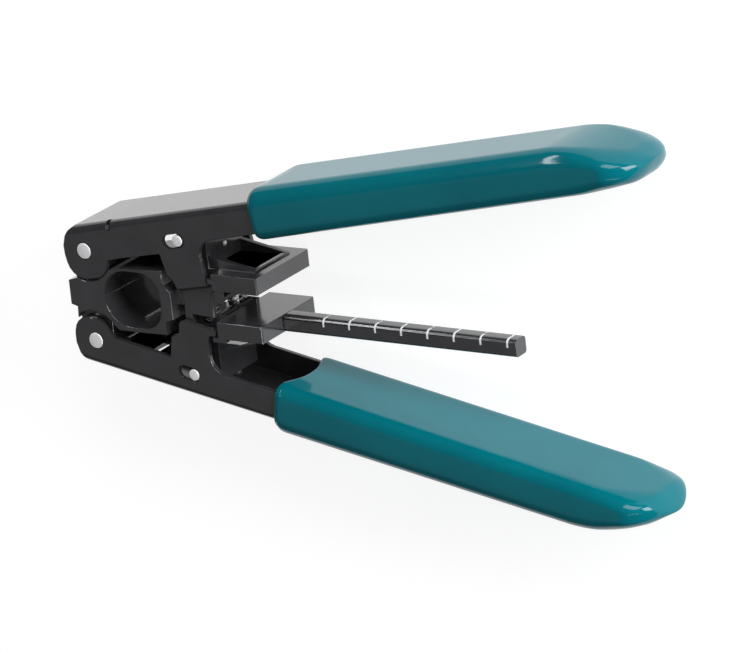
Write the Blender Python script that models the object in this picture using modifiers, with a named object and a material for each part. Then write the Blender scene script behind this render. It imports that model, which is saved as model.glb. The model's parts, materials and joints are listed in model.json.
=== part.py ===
"""Drop-cable stripping pliers: two dipped-grip handles that close two sliding jaws.

The tool lies on its side. X runs from the head to the handle tips, Y from the lower handle to the
upper one, and Z is up, through the tool's thickness. Lengths are in millimetres until a mesh is
made, where MM turns them into metres.
"""
import math

import bmesh
import bpy
from mathutils import Matrix, Vector

MM = 0.001
UPPER, LOWER = 1, -1
SIDE_NAME = {UPPER: "upper", LOWER: "lower"}
END_NAME = {1: "left", -1: "right"}   # as seen from the handles, with the upper handle up
AXIS_INDEX = {"X": 0, "Y": 1, "Z": 2}
GAP = 0.3                      # clearance between neighbouring pieces
ARC_STEP = math.radians(20)

# Head of the tool
PIVOT_Y = 15.75                # distance of each handle pivot from the middle plane
PIN_X = 39.0                   # the carriers' slot pins stand on this line
OPEN_ANGLE = {UPPER: math.radians(11.0), LOWER: math.radians(10.1)}
PIVOT_PIN_RADIUS = 2.75
SLOT_PIN_RADIUS = 1.95
SLOT_X = (33.4, 42.3)
SLOT_Y = {UPPER: -0.7, LOWER: 1.2}   # the slots' middle line, outwards of the pivot
SLOT_HALF_WIDTH = 2.4
SLOT_CORNER = 2.38
PIVOT_CLEARANCE = 0.2
PIN_PROUD = 0.2                # pin ends stand out of the cheeks by this much
ROUND_SIDES = 24

# Pressed steel channel of each handle, in the handle's own axes: x along it, y outwards
SHEET = 1.8
CHEEK_Z = 15.0                 # outer face of the cheeks
WEB_Y = 8.8                    # outer face of the web
BEND_RADIUS = 2.5
CHANNEL_DEPTH = -36.0          # the section is drawn past the deepest tab
CHANNEL_LENGTH = 188.0
CHANNEL_EDGE_Y = -2.0          # inner edge of the cheeks where the grip starts
JOGGLE_Y = (-16.9, -18.3)      # the upper tabs step inwards here, to pass inside the lower ones
JOGGLE_OFFSET = SHEET + GAP

# Dipped grip over each channel
GRIP_START = 72.6
GRIP_END = {UPPER: 219.0, LOWER: 214.3}
GRIP_HALF_WIDTH = 16.5
GRIP_OUTER_Y = 12.9
GRIP_INNER_Y = -4.5
GRIP_OUTER_CORNER = (6.4, 5.2) # rounding of the outer corners, outwards and across
GRIP_INNER_CORNER = (4.6, 4.6)
GRIP_TONGUE = 6.8              # the grip reaches this much further along the web
GRIP_THROAT = 3.0              # and starts this much later across the open side
GRIP_RAMP = 10.0               # length over which the tongue swells to full height
GRIP_RAMP_HEIGHT = 3.3
INNER_TAPER = 0.0104           # the open side comes this much nearer to the web per millimetre
# Each tip curve starts this far before the end
TIP_WIDTH = (12.8, 1.8)        # start, and the power of the curve that closes the width
TIP_HEIGHT = (6.2, 1.95)
TIP_OUTER_FALL = (31.8, 8.6, 1.81)   # start, depth and power of the slope of the outer face
TIP_INNER_RISE = (7.4, 4.8, 2.6)
TIP_ROUND = (24.0, 0.8)        # the corners grow from here to this share of the section
TIP_STEPS = 16
TIP_BLUNT = 0.03               # the last ring is this far short of the tip
GRIP_LIP_EASE = 0.8
ROOM_CORNER = 2.2
CORNER_STEPS = 4
FACE_STEPS = 8

# Jaw carriers
LEG_X = (36.0, 47.0)
LEG_HALF_WIDTH = 10.3
LEG_OUTER_Y = 27.0
JAW_X = (51.0, 69.0)
JAW_HALF_WIDTH = 15.5
JAW_THICKNESS = 5.8
JAW_INNER_Y = {UPPER: 6.6, LOWER: 4.2}
LEG_SETBACK = 2.95             # the leg starts this far outside the jaw's inner face
RIB_Z = (8.3, 10.1)
BLADE_X = (48.3, 49.3)
BLADE_HALF_WIDTH = 8.2
BLADE_PROUD = 0.3
BLADE_NOTCH = 0.9              # half width and depth of the notch
CLAMP_SCREW_Z = 5.6
CLAMP_SCREW_RADIUS = 0.32
BLADE_POCKET_DEPTH = 4.0
RIB_START_Y = 16.8             # the ribs fall from the leg at this height
RIB_END_X = 65.2
RIB_PROUD = 0.7                # above the plate, where they meet the lip
RIB_FOOT = 1.0                 # and this far into it
LIP_THICKNESS = 1.8
WELL_X = (52.6, 63.2)
UPPER_WELL_DEPTH = 3.6
LOWER_WELL_DEPTH = 1.0
WINDOW_X = (58.0, 63.2)
WINDOW_HALF_WIDTH = 7.4
WINDOW_CORNER = 1.4
LUG_Z = (13.2, JAW_HALF_WIDTH)
RIVET_Y = 17.8
RIVET_RADIUS = 0.85
RIVET_PROUD = 0.35

# Guide body
LOBE_ROOM = 10.65              # the side plates keep this far from each pivot
BOSS_RADIUS = 6.3
POCKET_X = (6.2, 28.8)
POCKET_Y = (-9.5, 9.9)
POCKET_CORNERS = (9.2, 7.5)
POCKET_FLOOR_Z = 4.0
CABLE_WAY = ((-12, 50), (-0.4, 2.8), (-2.4, 2.4))

# Guide rods and return springs
ROD_X = 43.4
ROD_Z = 6.5
ROD_RADIUS = 1.3
ROD_ENDS = (-23.7, 24.2)
SPRING_RADIUS = 2.4
SPRING_WIRE = 0.3
SPRING_TURNS = 6
SPRING_SEAT_RADIUS = 3.1
SPRING_SEAT_DEPTH = 8.0
BRIDGE_X = (30.0, 46.0)
BRIDGE_Y = (-1.8, 4.2)
BRIDGE_HALF_WIDTH = 9.9

# Scale bar on the lower carrier
BAR_X = (60.3, 157.9)
BAR_HALF_WIDTH = 3.1
BAR_TOP_Y = -4.15
BAR_BOTTOM_Y = -10.1
BAR_TOP_EDGE = 1.6
BAR_BOTTOM_EDGE = 1.2
BAR_TAIL_Y = (-7.9, -5.5)      # the tail in the lower jaw is thinner than the bar
BAR_SCREW_X = (62.6, 66.4)
BAR_SCREW_RADII = (0.8, 1.5)   # shank and head

# The origin of the model is the middle of its bounding box, on the surface that it lies on
ORIGIN_X = 102.941
ORIGIN_Y = 1.915
ORIGIN_Z = -GRIP_HALF_WIDTH

BLACK_PAINT = ((0.018, 0.018, 0.021), 0.32, 0.0)
BLACK_MOULDED = ((0.022, 0.022, 0.025), 0.42, 0.0)
TEAL_DIP = ((0.002, 0.105, 0.13), 0.22, 0.0)
BRIGHT_STEEL = ((0.72, 0.73, 0.74), 0.28, 1.0)
TOOL_STEEL = ((0.5, 0.51, 0.53), 0.22, 1.0)
SPRING_STEEL = ((0.42, 0.42, 0.44), 0.3, 1.0)
DARK_SCREW = ((0.06, 0.06, 0.065), 0.35, 1.0)


def collection(name):
    """A new collection in the scene."""
    made = bpy.data.collections.new(name)
    bpy.context.scene.collection.children.link(made)
    return made


def parented(obj, parent, home):
    """Put an object in a collection, in its parent's own axes."""
    home.objects.link(obj)
    obj.parent = parent
    return obj


def axis_empty(name, parent, location, turn=0.0):
    """An empty that carries pieces: location in millimetres, turned about Z."""
    empty = bpy.data.objects.new(name, None)
    empty.location = Vector(location) * MM
    empty.rotation_euler.z = turn
    empty.empty_display_size = 10 * MM
    return parented(empty, parent, PARTS)


def smooth(mesh):
    """Smooth shading with creases kept sharp."""
    mesh.shade_smooth()
    mesh.set_sharp_from_angle(angle=math.radians(32))


def closed_mesh(name, build):
    """A mesh filled by build(bm), welded, with its faces pointing out."""
    bm = bmesh.new()
    build(bm)
    bmesh.ops.remove_doubles(bm, verts=bm.verts, dist=0.00001)
    bmesh.ops.recalc_face_normals(bm, faces=bm.faces)
    mesh = bpy.data.meshes.new(name)
    bm.to_mesh(mesh)
    bm.free()
    return mesh


def rounded(corners):
    """Outline points from (x, y) or (x, y, radius) corners, with arcs at the round ones."""
    points = []
    for index, corner in enumerate(corners):
        here = Vector(corner[:2])
        radius = corner[2] if len(corner) == 3 else 0.0
        to_last = (Vector(corners[index - 1][:2]) - here).normalized()
        to_next = (Vector(corners[(index + 1) % len(corners)][:2]) - here).normalized()
        half_angle = to_last.angle(to_next) / 2
        if radius == 0.0 or half_angle > math.radians(89):
            points.append(tuple(here))
            continue
        centre = here + (to_last + to_next).normalized() * (radius / math.sin(half_angle))
        start = here + to_last * (radius / math.tan(half_angle)) - centre
        sweep = start.angle_signed(here + to_next * (radius / math.tan(half_angle)) - centre)
        steps = max(2, math.ceil(abs(sweep) / ARC_STEP))
        for step in range(steps + 1):
            turn = Matrix.Rotation(-sweep * step / steps, 2)
            points.append(tuple(centre + turn @ start))
    return points


def flipped(outline, side):
    """An outline drawn for the upper half, turned over for the lower half."""
    return [(x, y * side) for x, y in outline]


# How an outline's x, y and thickness lie in space when it is extruded along each axis
EXTRUSION_TURN = {
    "Z": Matrix.Identity(4),
    "X": Matrix(((0, 0, 1, 0), (1, 0, 0, 0), (0, 1, 0, 0), (0, 0, 0, 1))),
    "Y": Matrix(((1, 0, 0, 0), (0, 0, -1, 0), (0, 1, 0, 0), (0, 0, 0, 1))),
}


def extruded_mesh(name, outlines, low, high, axis="Z"):
    """A flat outline, with holes if more than one is given, extruded along X, Y or Z.

    Along X the outline is in (y, z), along Y in (x, z) and along Z in (x, y).
    """
    curve = bpy.data.curves.new(name, "CURVE")
    curve.dimensions = "2D"
    curve.fill_mode = "BOTH"
    curve.extrude = (high - low) / 2 * MM
    for outline in outlines:
        spline = curve.splines.new("POLY")
        spline.points.add(len(outline) - 1)
        for point, (x, y) in zip(spline.points, outline):
            point.co = (x * MM, y * MM, 0, 1)
        spline.use_cyclic_u = True
    holder = bpy.data.objects.new(name, curve)
    bpy.context.scene.collection.objects.link(holder)
    bpy.context.view_layer.update()
    evaluated = holder.evaluated_get(bpy.context.evaluated_depsgraph_get())
    source = bpy.data.meshes.new_from_object(evaluated)
    bpy.data.objects.remove(holder)
    bpy.data.curves.remove(curve)
    middle = Vector((0, 0, 0))
    middle[AXIS_INDEX[axis]] = (high + low) / 2 * MM
    source.transform(Matrix.Translation(middle) @ EXTRUSION_TURN[axis])
    mesh = closed_mesh(name, lambda bm: bm.from_mesh(source))
    bpy.data.meshes.remove(source)
    return mesh


def block_mesh(name, x, y, z):
    """A box between the given pairs of limits."""
    low = Vector((min(x), min(y), min(z)))
    high = Vector((max(x), max(y), max(z)))
    place = Matrix.Translation((low + high) / 2 * MM) @ Matrix.Diagonal(((high - low) * MM).to_4d())
    return closed_mesh(name, lambda bm: bmesh.ops.create_cube(bm, size=1.0, matrix=place))


def rod_mesh(name, axis, centre, ends, radius, sides=ROUND_SIDES, end_radius=None):
    """A cylinder, or a cone, along X, Y or Z through a centre, between two ends on its axis."""
    turn = {
        "X": Matrix.Rotation(math.pi / 2, 4, "Y"),
        "Y": Matrix.Rotation(-math.pi / 2, 4, "X"),
        "Z": Matrix.Identity(4),
    }[axis]
    place = Vector(centre)
    place[AXIS_INDEX[axis]] = (ends[0] + ends[1]) / 2
    placed = Matrix.Translation(place * MM) @ turn

    def build(bm):
        bmesh.ops.create_cone(
            bm, cap_ends=True, segments=sides,
            radius1=radius * MM,
            radius2=(radius if end_radius is None else end_radius) * MM,
            depth=abs(ends[1] - ends[0]) * MM,
            matrix=placed)

    return closed_mesh(name, build)


def piece(name, mesh, parent, finish):
    """A named sub-part with its own material."""
    obj = parented(bpy.data.objects.new(name, mesh), parent, PARTS)
    colour, roughness, metallic = finish
    material = bpy.data.materials.new(name)
    material.use_nodes = True
    shader = material.node_tree.nodes["Principled BSDF"]
    shader.inputs["Base Color"].default_value = (*colour, 1.0)
    shader.inputs["Roughness"].default_value = roughness
    shader.inputs["Metallic"].default_value = metallic
    mesh.materials.append(material)
    smooth(mesh)
    return obj


def combine(obj, operation, mesh):
    """Boolean of a piece with a shape in the same axes: DIFFERENCE, UNION or INTERSECT."""
    cutter = parented(bpy.data.objects.new(mesh.name, mesh), obj.parent, CUTTERS)
    cutter.hide_render = True
    cutter.display_type = "WIRE"
    modifier = obj.modifiers.new(mesh.name, "BOOLEAN")
    modifier.operation = operation
    modifier.solver = "EXACT"
    modifier.object = cutter


# ---------------------------------------------------------------- handle channels

def channel_section(joggled):
    """Sheet-metal channel section in (y, z): web outside, cheeks reaching inwards."""
    inner_radius = BEND_RADIUS - SHEET

    def half(face, sign, radius):
        """One half of the section, from the web down to the cheek's end."""
        points = [(WEB_Y - (CHEEK_Z - face), sign * face, radius)]
        if joggled:
            points.append((JOGGLE_Y[0], sign * face))
            points.append((JOGGLE_Y[1], sign * (face - JOGGLE_OFFSET)))
            points.append((CHANNEL_DEPTH, sign * (face - JOGGLE_OFFSET)))
        else:
            points.append((CHANNEL_DEPTH, sign * face))
        return points

    outer = CHEEK_Z
    inner = CHEEK_Z - SHEET
    corners = half(outer, 1, BEND_RADIUS)
    corners += half(inner, 1, inner_radius)[::-1]
    corners += half(inner, -1, inner_radius)
    corners += half(outer, -1, BEND_RADIUS)[::-1]
    return rounded(corners)


def channel_edge(x):
    """Height of the cheeks' inner edge at a place under the grip."""
    return CHANNEL_EDGE_Y + INNER_TAPER * (x - GRIP_START)


def side_outline(side):
    """Side view of the channel: pivot lobe, tab that passes the other handle, and long cheek."""
    beyond = WEB_Y + 0.6
    if side == UPPER:
        head = [
            (-8.5, beyond, 9.5), (-8.5, -9.8, 7.0), (6.2, -9.8, 6.0), (8.6, -4.2, 0.8),
            (31.0, -4.2, 0.5), (31.5, -11.4, 1.5), (33.3, -13.6, 1.0), (33.9, -17.2, 0.8),
            (33.6, -21.1), (31.9, -28.9), (35.2, -29.5), (35.8, -26.5), (44.0, -28.7),
            (45.7, -20.3), (47.6, -19.4), (48.1, -17.0), (46.4, -16.6, 0.4),
        ]
        tab_foot = (46.9, CHANNEL_EDGE_Y, 6.0)
    else:
        head = [
            (-8.6, beyond, 9.5), (-8.6, -7.8, 6.2), (2.3, -7.8, 5.0), (6.9, -2.9, 1.0),
            (30.4, -2.5, 0.5), (30.5, -10.2, 0.6), (33.4, -11.4, 0.6), (33.3, -15.8, 0.8),
            (34.4, -16.9, 0.3), (48.0, -16.9, 0.8), (47.8, -15.0, 0.5), (45.0, -14.3, 0.4),
        ]
        tab_foot = (46.0, CHANNEL_EDGE_Y, 6.5)
    tail = [tab_foot, (GRIP_START, CHANNEL_EDGE_Y), (CHANNEL_LENGTH, channel_edge(CHANNEL_LENGTH)),
            (CHANNEL_LENGTH, beyond)]
    return rounded(head + tail)


def handle_channel(side, axis_parent):
    """The pressed handle: its section along its length, trimmed to its side outline."""
    name = f"{SIDE_NAME[side]}_handle_channel"
    section = [(y * side, z) for y, z in channel_section(joggled=side == UPPER)]
    body = extruded_mesh(name, [section], -12.0, CHANNEL_LENGTH + 5, "X")
    channel = piece(name, body, axis_parent, BLACK_PAINT)
    through = CHEEK_Z + 2
    trim = extruded_mesh(f"{name}_outline", [flipped(side_outline(side), side)], -through, through)
    combine(channel, "INTERSECT", trim)

    hole = PIVOT_PIN_RADIUS + PIVOT_CLEARANCE
    combine(channel, "DIFFERENCE",
            rod_mesh(f"{name}_pivot_hole", "Z", (0, 0, 0), (-through, through), hole))
    slot_low = SLOT_Y[side] - SLOT_HALF_WIDTH
    slot_high = SLOT_Y[side] + SLOT_HALF_WIDTH
    slot = rounded([(SLOT_X[0], slot_high, SLOT_CORNER), (SLOT_X[0], slot_low, SLOT_CORNER),
                    (SLOT_X[1], slot_low, SLOT_CORNER), (SLOT_X[1], slot_high, SLOT_CORNER)])
    combine(channel, "DIFFERENCE",
            extruded_mesh(f"{name}_pin_slot", [flipped(slot, side)], -through, through))

    for end in (-1, 1):
        if side == UPPER:
            relief = block_mesh(f"{name}_bend_relief", (11.8, 13.6), (5.8, 9.6),
                                (end * 12.2, end * 15.6))
        else:
            relief = block_mesh(f"{name}_web_slot", (10.2, 12.8), (-6.4, -9.6),
                                (end * 4.0, end * 12.6))
        combine(channel, "DIFFERENCE", relief)
    return channel


# ---------------------------------------------------------------- dipped grips

def ease(value):
    """Smooth step from 0 to 1."""
    value = min(1.0, max(0.0, value))
    return value * value * (3 - 2 * value)


def reach(x, length, end):
    """How far a place is into the last length before the end, from 0 to 1."""
    return min(1.0, max(0.0, (x - end + length) / length))


def closing(share, power):
    """Share of the full size left on a rounded end, from 1 to 0."""
    return (1 - share ** power) ** (1 / power)


def grip_limits(x, end):
    """Half width, outer height and inner height of the grip at a place along the handle."""
    outer = GRIP_OUTER_Y
    outer -= GRIP_RAMP_HEIGHT * (1 - ease((x - GRIP_START + GRIP_TONGUE) / GRIP_RAMP))
    fall_length, fall, fall_power = TIP_OUTER_FALL
    outer -= fall * reach(x, fall_length, end) ** fall_power
    rise_length, rise, rise_power = TIP_INNER_RISE
    inner = GRIP_INNER_Y + INNER_TAPER * max(0.0, x - GRIP_START)
    inner += rise * reach(x, rise_length, end) ** rise_power
    middle = (outer + inner) / 2
    height_length, height_power = TIP_HEIGHT
    half_height = (outer - inner) / 2 * closing(reach(x, height_length, end), height_power)
    width_length, width_power = TIP_WIDTH
    half_width = GRIP_HALF_WIDTH * closing(reach(x, width_length, end), width_power)
    half_width -= GRIP_LIP_EASE * (1 - ease((x - GRIP_START + 1.0) / 2.5))
    return half_width, middle + half_height, middle - half_height


def corner_sizes(corner, x, end, half_width, half_height):
    """A corner's rounding, outwards and across: as given, then growing towards the tip."""
    round_length, share = TIP_ROUND
    grown = ease(reach(x, round_length, end))
    sizes = []
    for size, half in zip(corner, (half_height, half_width)):
        sizes.append(min(size + (share * half - size) * grown, half * share))
    return sizes


def grip_ring(x, end):
    """One cross-section of the grip, as (x, y, z) points round the handle."""
    half_width, outer, inner = grip_limits(x, end)
    half_height = (outer - inner) / 2
    fade = 1 - ease((x - GRIP_START) / 16)
    points = []

    def add(y, z, lead):
        moved = x + lead * fade
        height = y
        if y > 0:
            height -= outer - grip_limits(moved, end)[1]
        points.append((moved, height, z))

    def side_half(face, inwards, corner, start, lead):
        """A corner, the middle of a face and the next corner."""
        size_y, size_z = corner_sizes(corner, x, end, half_width, half_height)
        flat = half_width - size_z
        across = 1 if start == 0 else -1
        for quarter in (0, 1):
            for step in range(CORNER_STEPS + 1):
                turn = start + math.pi / 2 * (quarter + step / CORNER_STEPS)
                centre_z = flat * across * (1 - 2 * quarter)
                add(face + inwards * size_y + size_y * math.sin(turn),
                    centre_z + size_z * math.cos(turn), 0.0)
            if quarter == 0:
                for step in range(1, FACE_STEPS):
                    share = 2 * step / FACE_STEPS - 1
                    add(face, -across * share * flat, lead * (1 - abs(share) ** 2.4) ** 1.4)

    side_half(outer, -1, GRIP_OUTER_CORNER, 0.0, -GRIP_TONGUE)
    side_half(inner, 1, GRIP_INNER_CORNER, math.pi, GRIP_THROAT)
    return points


def loft_mesh(name, rings, side):
    """A closed solid through rings of the same number of points, closed by a fan at each end."""

    def build(bm):
        rows = []
        for ring in rings:
            rows.append([bm.verts.new(Vector((x, y * side, z)) * MM) for x, y, z in ring])
        count = len(rows[0])
        for row, after in zip(rows, rows[1:]):
            for step in range(count):
                follow = (step + 1) % count
                bm.faces.new((row[step], row[follow], after[follow], after[step]))
        for row in (rows[0], rows[-1]):
            centre = bm.verts.new(sum((vert.co for vert in row), Vector()) / count)
            for step in range(count):
                bm.faces.new((row[step], row[(step + 1) % count], centre))

    return closed_mesh(name, build)


def grip(side, axis_parent):
    """The dipped plastic grip: a soft-edged sleeve, closed at the handle's tip."""
    name = f"{SIDE_NAME[side]}_grip"
    end = GRIP_END[side]
    stations = [GRIP_START + step for step in (0.0, 0.7, 1.6, 3.5, 7.0, 11.0, 16.0, 40.0, 75.0)]
    tip_start = end - TIP_OUTER_FALL[0] - 4
    tip_length = end - tip_start - TIP_BLUNT
    stations += [tip_start + tip_length * math.sin(math.pi / 2 * step / TIP_STEPS)
                 for step in range(TIP_STEPS + 1)]
    solid = loft_mesh(name, [grip_ring(x, end) for x in stations], side)
    sleeve = piece(name, solid, axis_parent, TEAL_DIP)
    rings = []
    for x in (GRIP_START - 12, CHANNEL_LENGTH + GAP):
        across = CHEEK_Z + GAP
        low = channel_edge(x) - GAP
        high = WEB_Y + GAP
        rings.append([(x, y, z) for y, z in rounded([
            (high, across, ROOM_CORNER), (low, across), (low, -across),
            (high, -across, ROOM_CORNER)])])
    combine(sleeve, "DIFFERENCE", loft_mesh(f"{name}_room", rings, side))
    return sleeve


# ---------------------------------------------------------------- guide body

def guide_body(parent):
    """Central block: side plates flush with the cheeks, pivot bosses, rear bridge and pockets."""
    face_outline = [(-8.2, 4.9), (-8.4, -3.6), (-5.9, -4.3), (-6.2, -8.4), (-5.2, -6.4)]
    for degrees in (112, 95, 78, 62, 46, 33):
        turn = math.radians(degrees)
        face_outline.append((LOBE_ROOM * math.cos(turn), -PIVOT_Y + LOBE_ROOM * math.sin(turn)))
    face_outline += [
        (10.6, -11.2), (30.3, -11.0), (30.3, -6.4), (31.1, -6.0), (33.4, -5.4), (33.4, 4.2),
        (31.4, 6.0), (30.7, 6.4), (30.7, 11.5), (12.9, 10.8),
    ]
    for degrees in (-33, -50, -66, -82, -98, -114):
        turn = math.radians(degrees)
        face_outline.append((LOBE_ROOM * math.cos(turn), PIVOT_Y + LOBE_ROOM * math.sin(turn)))
    body = piece("guide_body", extruded_mesh("guide_body", [face_outline], -CHEEK_Z, CHEEK_Z),
                 parent, BLACK_MOULDED)

    core_z = CHEEK_Z - SHEET - GAP
    boss = BOSS_RADIUS
    spine = rounded([(-boss, PIVOT_Y + boss, boss), (-boss, -PIVOT_Y - boss, boss),
                     (boss, -PIVOT_Y - boss, boss), (boss, PIVOT_Y + boss, boss)])
    combine(body, "UNION", extruded_mesh("guide_spine", [spine], -core_z, core_z))
    combine(body, "UNION", block_mesh("guide_bridge", BRIDGE_X, BRIDGE_Y,
                                      (-BRIDGE_HALF_WIDTH, BRIDGE_HALF_WIDTH)))

    pocket = rounded([
        (POCKET_X[0], POCKET_Y[1], POCKET_CORNERS[0]), (POCKET_X[0], POCKET_Y[0], POCKET_CORNERS[0]),
        (POCKET_X[1], POCKET_Y[0], POCKET_CORNERS[1]), (POCKET_X[1], POCKET_Y[1], POCKET_CORNERS[1])])
    for end in (-1, 1):
        depth = (end * POCKET_FLOOR_Z, end * (CHEEK_Z + 1))
        combine(body, "DIFFERENCE",
                extruded_mesh("guide_pocket", [pocket], min(depth), max(depth)))
    for side in (UPPER, LOWER):
        combine(body, "DIFFERENCE",
                rod_mesh("guide_pin_bore", "Z", (0, side * PIVOT_Y, 0),
                         (-CHEEK_Z, CHEEK_Z), PIVOT_PIN_RADIUS + GAP))
    combine(body, "DIFFERENCE", block_mesh("cable_way", *CABLE_WAY))
    for end in (-1, 1):
        combine(body, "DIFFERENCE",
                rod_mesh("guide_rod_bore", "Y", (ROD_X, 0, end * ROD_Z), (-4, 7),
                         ROD_RADIUS + GAP, 20))
    return body


def pin(name, x, y, radius, parent):
    """A bright rivet pin across the tool, with eased ends."""
    half = CHEEK_Z + PIN_PROUD
    obj = piece(name, rod_mesh(name, "Z", (x, y, 0), (-half, half), radius), parent, BRIGHT_STEEL)
    edge = obj.modifiers.new("eased_ends", "BEVEL")
    edge.limit_method = "ANGLE"
    edge.angle_limit = math.radians(60)
    edge.width = 0.35 * MM
    edge.segments = 2
    return obj


# ---------------------------------------------------------------- jaw carriers

def outwards(side, *heights):
    """Distances outwards from the middle plane as Y limits."""
    return tuple(side * height for height in heights)


def carrier(side, parent):
    """Sliding carrier: leg with the slot pin and rod bores, neck with the blade, and jaw plate."""
    name = f"{SIDE_NAME[side]}_jaw_carrier"
    inner = JAW_INNER_Y[side]
    outer = inner + JAW_THICKNESS
    leg_inner = inner + LEG_SETBACK
    neck_overlap = 0.8

    leg = block_mesh(name, LEG_X, outwards(side, leg_inner, LEG_OUTER_Y),
                     (-LEG_HALF_WIDTH, LEG_HALF_WIDTH))
    body = piece(name, leg, parent, BLACK_MOULDED)
    jaw = rounded([(JAW_X[0], JAW_HALF_WIDTH), (JAW_X[1], JAW_HALF_WIDTH, 0.7),
                   (JAW_X[1], -JAW_HALF_WIDTH, 0.7), (JAW_X[0], -JAW_HALF_WIDTH)])
    y_low, y_high = sorted(outwards(side, inner, outer))
    combine(body, "UNION", extruded_mesh(f"{name}_jaw", [jaw], y_low, y_high, "Y"))
    combine(body, "UNION",
            block_mesh(f"{name}_neck", (LEG_X[1] - neck_overlap, JAW_X[0] + neck_overlap),
                       outwards(side, inner, outer), (-LEG_HALF_WIDTH, LEG_HALF_WIDTH)))

    rib_root = LEG_X[1] - 1.4
    rib = [(rib_root, RIB_START_Y), (RIB_END_X, outer + RIB_PROUD),
           (RIB_END_X, outer - RIB_FOOT), (rib_root, outer - RIB_FOOT)]
    for end in (-1, 1):
        low, high = sorted((end * RIB_Z[0], end * RIB_Z[1]))
        combine(body, "UNION",
                extruded_mesh(f"{name}_rib", [flipped(rib, side)], low, high))
    combine(body, "UNION",
            block_mesh(f"{name}_lip", (RIB_END_X - LIP_THICKNESS, RIB_END_X),
                       outwards(side, outer - RIB_FOOT, outer + RIB_PROUD),
                       (-RIB_Z[1], RIB_Z[1])))

    if side == UPPER:
        well_depth = UPPER_WELL_DEPTH
        window = rounded([(x, z * WINDOW_HALF_WIDTH, WINDOW_CORNER) for x, z in (
            (WINDOW_X[0], 1), (WINDOW_X[1], 1), (WINDOW_X[1], -1), (WINDOW_X[0], -1))])
        combine(body, "DIFFERENCE",
                extruded_mesh(f"{name}_window", [window], inner - 2, outer + 4, "Y"))
        lug = ((49.3, 51.6), (8.7, 10.7))
    else:
        well_depth = LOWER_WELL_DEPTH
        lug = ((48.8, 54.0), (9.6, 11.4))
    combine(body, "DIFFERENCE",
            block_mesh(f"{name}_well", WELL_X, outwards(side, outer - well_depth, outer + 4),
                       (-RIB_Z[0], RIB_Z[0])))
    for end in (-1, 1):
        combine(body, "UNION",
                block_mesh(f"{name}_lug", lug[0], outwards(side, *lug[1]),
                           (end * LUG_Z[0], end * LUG_Z[1])))

    angle = OPEN_ANGLE[side]
    pin_y = side * (PIVOT_Y + PIN_X * math.tan(angle) + SLOT_Y[side] / math.cos(angle))
    combine(body, "DIFFERENCE",
            rod_mesh(f"{name}_pin_bore", "Z", (PIN_X, pin_y, 0),
                     (-LEG_HALF_WIDTH - 1, LEG_HALF_WIDTH + 1), SLOT_PIN_RADIUS + GAP))
    pin(f"{SIDE_NAME[side]}_slot_pin", PIN_X, pin_y, SLOT_PIN_RADIUS, parent)
    for end in (-1, 1):
        combine(body, "DIFFERENCE",
                rod_mesh(f"{name}_rod_bore", "Y", (ROD_X, 0, end * ROD_Z),
                         outwards(side, leg_inner - 1, LEG_OUTER_Y + 1), ROD_RADIUS + GAP - 0.05, 20))
        combine(body, "DIFFERENCE",
                rod_mesh(f"{name}_spring_seat", "Y", (ROD_X, 0, end * ROD_Z),
                         outwards(side, leg_inner - 1, leg_inner + SPRING_SEAT_DEPTH),
                         SPRING_SEAT_RADIUS, 24))
    combine(body, "DIFFERENCE",
            block_mesh(f"{name}_blade_pocket", (BLADE_X[0] - GAP, JAW_X[0] - 0.2),
                       outwards(side, inner - 1, inner + BLADE_POCKET_DEPTH),
                       (-BLADE_HALF_WIDTH - GAP, BLADE_HALF_WIDTH + GAP)))
    return body


def blade_set(side, carrier_body, parent):
    """Notched stripping blade, the clamp block that holds it, and the clamp's two screws."""
    name = SIDE_NAME[side]
    inner = JAW_INNER_Y[side]
    root = inner + BLADE_POCKET_DEPTH - GAP
    tip = inner - BLADE_PROUD
    notch = BLADE_NOTCH
    shape = [(-BLADE_HALF_WIDTH, root), (-BLADE_HALF_WIDTH, tip), (-notch, tip),
             (0.0, tip + notch), (notch, tip), (BLADE_HALF_WIDTH, tip), (BLADE_HALF_WIDTH, root)]
    outline = [(y * side, z) for z, y in shape]
    piece(f"{name}_blade", extruded_mesh(f"{name}_blade", [outline], *BLADE_X, "X"),
          parent, TOOL_STEEL)

    clamp_x = (BLADE_X[1] + GAP - 0.1, JAW_X[0] - 0.5)
    clamp_face = inner + 0.05
    clamp = piece(f"{name}_blade_clamp",
                  block_mesh(f"{name}_blade_clamp", clamp_x, outwards(side, clamp_face, root),
                             (-BLADE_HALF_WIDTH, BLADE_HALF_WIDTH)),
                  parent, TOOL_STEEL)
    middle = (clamp_x[0] + clamp_x[1]) / 2
    shank = CLAMP_SCREW_RADIUS
    screw_end = root + 1.2
    for end in (-1, 1):
        place = (middle, 0, end * CLAMP_SCREW_Z)
        bore = rod_mesh(f"{name}_screw_bore", "Y", place, outwards(side, inner - 1, screw_end + GAP),
                        shank + 0.12, 12)
        combine(carrier_body, "DIFFERENCE", bore)
        combine(clamp, "DIFFERENCE", bore.copy())
        screw_name = f"{name}_clamp_screw_{END_NAME[end]}"
        piece(screw_name,
              rod_mesh(screw_name, "Y", place, outwards(side, clamp_face + GAP, screw_end), shank, 12),
              parent, DARK_SCREW)


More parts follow.
